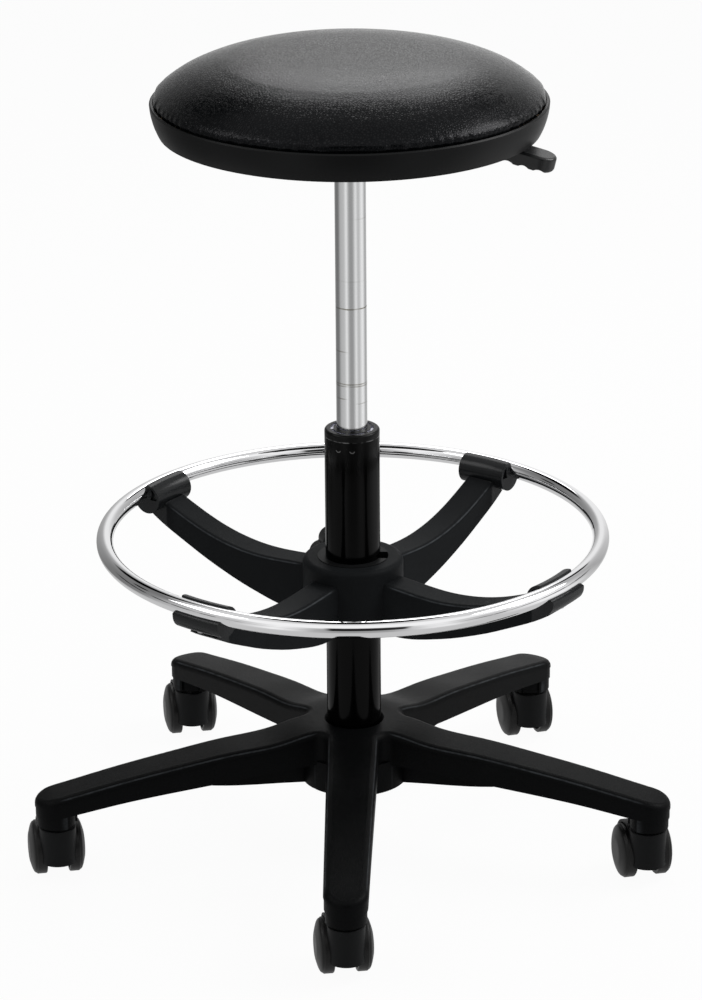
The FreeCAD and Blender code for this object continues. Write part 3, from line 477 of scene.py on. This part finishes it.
# lift cylinder: centreless ground, with the rings that the guide bush leaves
rodFacts = {
    "colour": (0.78, 0.785, 0.79, 1.0),
    "roughness": 0.14,
    # scuffed rings: height, depth and the side where they show (-1 left, 1 right, 0 all round)
    "rings": (
        (0.5248, 1.0, 0), (0.454, 0.7, 0), (0.452, 0.55, 0), (0.4844, 0.6, -1),
        (0.440, 0.6, -1), (0.4355, 0.35, 1), (0.608, 0.2, 1), (0.5505, 0.12, 0),
    ),
    "ringHalf": 0.0005,
    "ringColour": (0.2, 0.18, 0.13, 1.0),
}


def rodSteel():
    material, wire, shader = newMaterial("rodSteel")
    place = objectPlace(wire)
    side = wire.node("ShaderNodeSeparateXYZ", None, {0: place}, out=0)
    along = wire.node("ShaderNodeSeparateXYZ", None, {0: place}, out=2)
    turned = noiseAt(wire, objectPlace(wire, scale=(12, 12, 3600)), 1.0, 4.0, 0.7)
    cloud = noiseAt(wire, objectPlace(wire, scale=(40, 40, 9)), 1.0, 4.0, 0.6)
    wander = (noiseAt(wire, objectPlace(wire, scale=(60, 60, 6)), 1.0, 1.0) - 0.5) * 0.0014
    patchy = noiseAt(wire, objectPlace(wire, scale=(90, 90, 500)), 1.0, 2.0).within(0.25, 0.6)
    marks = 0.0
    for height, deep, where in rodFacts["rings"]:
        away = wire.maths("ABSOLUTE", along + wander - height)
        mark = (1 - away.within(0.0001, 2 * rodFacts["ringHalf"])) * patchy * deep
        marks = marks + (mark * (side * where).within(0.001, 0.009) if where else mark)
    rough = rodFacts["roughness"] + (turned - 0.5) * 0.08 + (cloud - 0.5) * 0.08
    feed(shader, {
        "Base Color": marks.colours(rodFacts["colour"], rodFacts["ringColour"]),
        "Metallic": 1.0,
        "Roughness": rough + marks * 0.2,
        "Normal": turned.bump(0.12, 0.0002),
    })
    return material


# foot ring: bright chrome with a slight haze and pin specks
chromeFacts = {
    "colour": (0.87, 0.87, 0.88, 1.0),
    "speckColour": (0.5, 0.49, 0.47, 1.0),
    "ripplePerMetre": 60.0,
    "hazePerMetre": 220.0,
    "specksPerMetre": 1100.0,
    "roughness": 0.006,
}


def ringChrome():
    material, wire, shader = newMaterial("ringChrome")
    place = objectPlace(wire)
    ripple = noiseAt(wire, place, chromeFacts["ripplePerMetre"], 2.0)
    haze = noiseAt(wire, place, chromeFacts["hazePerMetre"], 4.0, 0.65)
    specks = noiseAt(wire, place, chromeFacts["specksPerMetre"], 2.0).within(0.74, 0.8)
    feed(shader, {
        "Base Color": specks.colours(chromeFacts["colour"], chromeFacts["speckColour"]),
        "Metallic": 1.0,
        "Roughness": chromeFacts["roughness"] + haze * 0.02 + specks * 0.2,
        "Normal": ripple.bump(0.05, 0.0004),
    })
    return material


# bare steel and brass: colour and roughness
metals = {
    "plainSteel": ((0.5, 0.5, 0.51, 1.0), 0.25),
    "brass": ((0.72, 0.53, 0.24, 1.0), 0.3),
}


def plainMetal(name, colour, roughness):
    material, wire, shader = newMaterial(name)
    place = objectPlace(wire)
    turned = noiseAt(wire, place, 900.0, 3.0, 0.6)
    stain = noiseAt(wire, place, 70.0, 3.0, 0.6).within(0.5, 0.8)
    darker = tuple(part * 0.6 for part in colour[:3]) + (1.0,)
    feed(shader, {
        "Base Color": stain.colours(colour, darker),
        "Metallic": 1.0,
        "Roughness": roughness + turned * 0.15,
        "Normal": turned.bump(0.15, 0.0002),
    })
    return material


# birch ply: year rings as long stretched noise, plies by height
boardFacts = {
    "early": (0.52, 0.36, 0.2, 1.0),
    "late": (0.3, 0.18, 0.09, 1.0),
    "ply": 0.0014,
    "glueLine": (0.0005, 0.0009),
}


def boardPlywood():
    material, wire, shader = newMaterial("boardPlywood")
    place = objectPlace(wire)
    along = wire.node("ShaderNodeSeparateXYZ", None, {0: place}, out=2)
    grain = noiseAt(wire, objectPlace(wire, scale=(12, 220, 220)), 1.0, 5.0, 0.65)
    plies = wire.maths("PINGPONG", along, boardFacts["ply"]).within(*boardFacts["glueLine"])
    colour = (grain * 0.7 + plies * 0.3).colours(boardFacts["early"], boardFacts["late"])
    feed(shader, {
        "Base Color": colour,
        "Roughness": 0.6 + grain * 0.2,
        "Normal": grain.bump(0.3, 0.0004),
    })
    return material


def assignMaterials():
    finishes = {slot: mouldedPlastic(slot, finish) for slot, finish in plastics.items()}
    finishes["seat_vinyl"] = seatVinyl()
    finishes["column_black"] = columnBlack()
    finishes["bush_plastic"] = bushBlack()
    finishes["plate_black"] = plateBlack()
    finishes["rod_steel"] = rodSteel()
    finishes["ring_chrome"] = ringChrome()
    finishes["plain_steel"] = plainMetal("plainSteel", *metals["plainSteel"])
    finishes["brass"] = plainMetal("brass", *metals["brass"])
    finishes["board_plywood"] = boardPlywood()
    for entry in frame["record"]["subparts"]:
        slots = nodes[entry["node"]].data.materials
        slots.clear()
        slots.append(finishes[entry["material_slot"]])
    return finishes


# floor, world and lamps
studio = {
    "floorRadius": 6.0,
    "floorWhite": 0.9,
    "shadowShare": 0.045,
    "skyForDiffuse": 0.3,
    # the dark gap at the camera, as the height and place of its directions
    "cameraGapLow": 0.04,
    "cameraGapHigh": 0.62,
    "cameraGapSoft": 0.05,
    "cameraGapFront": (0.7, 0.85),
    "cameraGapMiddle": 0.1,  # to the right of the camera
    "cameraGapHalf": (0.25, 0.32),
    "darkShare": 0.95,
    # dark line where the white paper ends, by degrees to the right of the camera
    "paperEnd": (
        (-180, 0), (-128, 0), (-118, 0.9), (-60, 0.9), (-45, 0.2),
        (45, 0.1), (60, 0.8), (118, 0.9), (128, 0), (180, 0),
    ),
    "paperEndLow": 0.02,
    "paperEndHigh": 0.16,
    "paperEndSoft": 0.015,
    # what polished parts see round about: (degrees to the right of the camera, level)
    "roundAbout": (
        (-180, 0.9), (-166, 0.42), (-150, 0.3), (-130, 0.2), (-112, 0.19), (-98, 0.25),
        (-85, 0.48), (-70, 0.55), (-50, 0.6), (-42, 0.78), (-33, 0.98), (-25, 0.8),
        (-16, 0.48), (-6, 0.36), (6, 0.36), (15, 0.39), (24, 0.62), (32, 0.86),
        (40, 0.92), (48, 0.68), (60, 0.58), (74, 0.8), (84, 0.96), (94, 1.0),
        (104, 0.86), (116, 0.58), (130, 0.42), (150, 0.58), (166, 0.9), (180, 0.9),
    ),
    "nearFloor": 0.6,  # painted shadow: the floor close to the stool is darker as polished parts see it, and the distances where it ends
    "nearFloorFrom": 0.55,
    "nearFloorTo": 1.0,
    "ceiling": 0.7,
    "ceilingFront": 1.0,
    "ceilingFrom": 0.68,  # sine of the height where it starts
    "ceilingFull": 0.85,
    "ceilingReach": 0.25,  # how much lower it comes on the camera's side
    # dark corners between the lamps: x, y and z of their direction, and their size
    "corners": ((-0.4, 0.66, 0.63, 0.24), (0.38, 0.72, 0.58, 0.14), (-0.82, 0.35, 0.42, 0.1)),
    "lampAim": (0.0, 0.0, 0.42),
}
lamps = {
    "leftBox": {"at": (-1.75, -0.3, 2.05), "size": (1.1, 0.9), "watts": 8.0},
    "rightBox": {"at": (1.95, 0.2, 2.1), "size": (1.5, 1.3), "watts": 36.0},
    "backCard": {"at": (0.08, 1.75, 1.95), "size": (0.9, 1.0), "watts": 7.5},
    "backTop": {"at": (0.1, 1.7, 2.1), "size": (2.2, 1.0), "watts": 3.0, "mirrored": False},
}


# what the studio has in one direction, by the degrees to the right of the camera
def roundAbout(wire, direction, levels):
    sides = partsOf(wire, direction, 2)
    turn = wire.maths("ARCTAN2", sides[0], 0 - sides[1]) / math.tau + 0.5
    stops = [(degrees / 360 + 0.5, level) for degrees, level in levels]
    return wire.node("ShaderNodeValToRGB", {"stops": stops}, {0: turn})


# camera rays, rays off polished parts and rays through them
def rayKinds(wire):
    return [wire.node("ShaderNodeLightPath", out=kind) for kind in (0, 3, 6)]


def makeFloor():
    mesh = bpy.data.meshes.new("floor")
    disc = bmesh.new()
    bmesh.ops.create_circle(disc, cap_ends=True, segments=96, radius=studio["floorRadius"])
    disc.to_mesh(mesh)
    disc.free()
    floor = bpy.data.objects.new("floor", mesh)
    scene.collection.objects.link(floor)
    material = bpy.data.materials.new("floorPaper")
    material.use_nodes = True
    material.node_tree.nodes.clear()
    wire = Wire(material.node_tree)
    seen, mirrored, through = rayKinds(wire)
    spot = wire.node("ShaderNodeTexCoord", out=3)
    around = roundAbout(wire, spot, studio["roundAbout"])
    away = wire.node("ShaderNodeVectorMath", {"operation": "LENGTH"}, {0: spot}, out=1)
    # painted shadow round the stool, seen only in reflections
    near = 1 - away.within(studio["nearFloorFrom"], studio["nearFloorTo"])
    around = around + near * (studio["nearFloor"] - around)
    paper = wire.node("ShaderNodeBsdfDiffuse", None, {"Color": grey(studio["floorWhite"])})
    level = 1 - mirrored * (1 - around)
    white = wire.node("ShaderNodeEmission", None, {"Color": grey(1.0), "Strength": level})
    share = seen * (1 - studio["shadowShare"])
    share = wire.maths("MAXIMUM", share, wire.maths("MAXIMUM", mirrored, through))
    mixed = wire.node("ShaderNodeMixShader", None, {0: share, 1: paper, 2: white})
    wire.node("ShaderNodeOutputMaterial", None, {0: mixed})
    mesh.materials.append(material)


def makeSky():
    world = bpy.data.worlds.new("studioSky")
    world.use_nodes = True
    world.node_tree.nodes.clear()
    wire = Wire(world.node_tree)
    seen, mirrored, through = rayKinds(wire)
    direction = wire.node("ShaderNodeTexCoord", out=0)
    parts = partsOf(wire, direction)
    around = roundAbout(wire, direction, studio["roundAbout"])
    front = (0 - parts[1]).within(0.0, 0.3)
    over = parts[2] + front * studio["ceilingReach"]
    over = over.within(studio["ceilingFrom"], studio["ceilingFull"])
    ceiling = studio["ceiling"] + front * (studio["ceilingFront"] - studio["ceiling"])
    lit = 1.0
    for x, y, z, size in studio["corners"]:
        away = distanceTo(wire, direction, (x, y, z))
        lit = away.within(0.6 * size, size) * lit
    # the camera and the dark room behind it
    low, high, soft = (studio["cameraGap" + which] for which in ("Low", "High", "Soft"))
    gap = parts[2].within(low - soft, low + soft) * (1 - parts[2].within(high - soft, high + soft))
    gap = gap * (0 - parts[1]).within(*studio["cameraGapFront"])
    aside = wire.maths("ABSOLUTE", parts[0] - studio["cameraGapMiddle"])
    gap = gap * (1 - aside.within(*studio["cameraGapHalf"]))
    low, high, soft = (studio["paperEnd" + which] for which in ("Low", "High", "Soft"))
    end = parts[2].within(low, low + soft) * (1 - parts[2].within(high - soft, high))
    end = end * roundAbout(wire, direction, studio["paperEnd"])
    end = end * noiseAt(wire, direction, 9.0, 2.0).within(0.36, 0.5)
    reflected = around + over * (ceiling - around)
    reflected = reflected * (1 - gap * studio["darkShare"]) * (1 - end * studio["darkShare"]) * lit
    plain = wire.maths("MAXIMUM", seen, through)
    level = studio["skyForDiffuse"] + mirrored * (reflected - studio["skyForDiffuse"])
    level = level + plain * (1 - level)
    sky = wire.node("ShaderNodeBackground", None, {"Color": grey(1.0), "Strength": level})
    wire.node("ShaderNodeOutputWorld", None, {0: sky})
    scene.world = world


def makeLamps():
    target = Vector(studio["lampAim"])
    for name, lamp in lamps.items():
        data = bpy.data.lights.new(name, "AREA")
        data.shape = "RECTANGLE"
        data.size, data.size_y = lamp["size"]
        data.energy = lamp["watts"]
        made = bpy.data.objects.new(name, data)
        scene.collection.objects.link(made)
        made.location = lamp["at"]
        away = made.location - target
        made.rotation_euler = away.to_track_quat("Z", "Y").to_euler()
        made.visible_glossy = lamp.get("mirrored", True)


# a mesh made from a bmesh, as a piece that rides on a body
def addPiece(name, shape, material, body):
    mesh = bpy.data.meshes.new(name)
    bmesh.ops.remove_doubles(shape, verts=shape.verts, dist=1e-6)
    bmesh.ops.recalc_face_normals(shape, faces=shape.faces)
    shape.to_mesh(mesh)
    shape.free()
    mesh.materials.append(material)
    mesh.shade_smooth()
    piece = bpy.data.objects.new(name, mesh)
    scene.collection.objects.link(piece)
    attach(piece, body)
    return piece


# a closed round shape from its half outline, points as (radius, height)
def spunShape(outline, steps):
    shape = bmesh.new()
    line = [shape.verts.new((radius, 0.0, height)) for radius, height in outline]
    edges = [shape.edges.new(pair) for pair in zip(line, line[1:])]
    bmesh.ops.spin(shape, geom=line + edges, cent=(0, 0, 0), axis=(0, 0, 1),
                   angle=math.tau, steps=steps, use_merge=True)
    return shape


cushion = {
    "crown": 0.0415,  # height of the dome over the seam
    "shrink": 0.0022,  # the pad starts this much smaller and is blown up
    "voxel": 0.0042,
    "pressure": 4.0,
    "cap": 0.006,
    "frames": 20,
    "keepPuckers": 0.35,  # share of the cover's unevenness that stays after steaming
    "rings": 26,
    "steps": 160,  # points round the edge
    "tuck": 0.006,  # how far the edge is turned in under the dome
    "clear": 0.0004,  # air over the pan
    "evenOut": 4,  # rounds of smoothing after the remesh
    # the dome's line, as shares of radius and crown, from the middle to the tuck under the edge
    "dome": (
        (0.0, 1.0), (0.12, 0.998), (0.24, 0.990), (0.36, 0.972), (0.4545, 0.952), (0.54, 0.912),
        (0.625, 0.855), (0.69, 0.785), (0.7386, 0.723), (0.785, 0.652), (0.824, 0.578),
        (0.855, 0.52), (0.881, 0.458), (0.903, 0.398), (0.92, 0.347), (0.9545, 0.238),
        (0.972, 0.172), (0.984, 0.118), (0.9925, 0.066), (0.9965, 0.03), (0.994, 0.014),
        (0.984, 0.009),
    ),
}
coverCloth = {
    "quality": 6,
    "mass": 0.4,
    "tension_stiffness": 40,
    "compression_stiffness": 40,
    "shear_stiffness": 20,
    "bending_stiffness": 4,
    "vertex_group_mass": "tucked",
    "use_pressure": True,
    "uniform_pressure_force": cushion["pressure"],
}


def evaluatedMesh(piece, name):
    graph = bpy.context.evaluated_depsgraph_get()
    mesh = bpy.data.meshes.new_from_object(piece.evaluated_get(graph), depsgraph=graph)
    mesh.name = name
    return mesh


def makeCushion(finishes):
    low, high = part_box("seat_cushion")
    radius = (high.x - low.x) / 2
    crown = cushion["crown"]
    seam = high.z - crown
    tuck = radius - cushion["tuck"]
    under = low.z + cushion["clear"]
    outline = [(0.0, under), (tuck, under), (tuck, seam + cushion["clear"])]
    outline += [(share * radius, seam + tall * crown) for share, tall in reversed(cushion["dome"])]
    shape = spunShape(outline, cushion["steps"])
    piece = addPiece("seatPad", shape, finishes["seat_vinyl"], "seat")
    inflate(piece, seam)
    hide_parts("seat_cushion")


# voxels, cloth under pressure, then its unevenness laid back on the sewn shape
def inflate(piece, seam):
    shrink = piece.modifiers.new("smaller", "DISPLACE")
    shrink.mid_level = 0.0
    shrink.strength = -cushion["shrink"]
    remesh = piece.modifiers.new("voxels", "REMESH")
    remesh.mode = "VOXEL"
    remesh.voxel_size = cushion["voxel"]
    smooth = piece.modifiers.new("even", "SMOOTH")
    smooth.iterations = cushion["evenOut"]
    piece.data = evaluatedMesh(piece, "seatPad")
    piece.modifiers.clear()
    start = [vertex.co.copy() for vertex in piece.data.vertices]
    outward = [vertex.normal.copy() for vertex in piece.data.vertices]
    pins = piece.vertex_groups.new(name="tucked")
    pins.add([i for i, place in enumerate(start) if place.z < seam], 1.0, "REPLACE")
    cloth = piece.modifiers.new("cover", "CLOTH")
    for name, value in coverCloth.items():
        setattr(cloth.settings, name, value)
    cloth.settings.effector_weights.gravity = 0.0
    cloth.point_cache.frame_end = cushion["frames"]
    for step in range(1, cushion["frames"] + 1):
        scene.frame_set(step)
    swollen = evaluatedMesh(piece, "seatPad")
    piece.modifiers.clear()
    scene.frame_set(1)
    # how far each point swelled, and the mean of that in rings about the middle
    swells = []
    for vertex, first, normal in zip(swollen.vertices, start, outward):
        move = vertex.co - first
        if move.length > cushion["cap"]:
            move *= cushion["cap"] / move.length
        swells.append(move.dot(normal))
    radius = max(place.x for place in start)
    rings = cushion["rings"]
    ringOf = [min(int(place.xy.length / radius * rings), rings - 1) for place in start]
    totals = [[0.0, 0] for ring in range(rings)]
    for place, ring, swell in zip(start, ringOf, swells):
        if place.z > seam:
            totals[ring][0] += swell
            totals[ring][1] += 1
    for vertex, first, normal, ring, swell in zip(swollen.vertices, start, outward, ringOf, swells):
        total, count = totals[ring]
        uneven = 0.0
        if first.z > seam and count:
            uneven = (swell - total / count) * cushion["keepPuckers"]
        vertex.co = first + normal * (cushion["shrink"] + uneven)
    piece.data = swollen
    finer = piece.modifiers.new("finer", "SUBSURF")
    finer.levels = finer.render_levels = 1
    print("cushion blown up:", len(start), "points, swell", round(max(swells) * 1000, 2), "mm")


setCamera()
makeFloor()
makeSky()
makeLamps()
print("studio with", len(lamps), "lamps")
finishes = assignMaterials()
print("materials on", len(nodes), "nodes")
makeCushion(finishes)
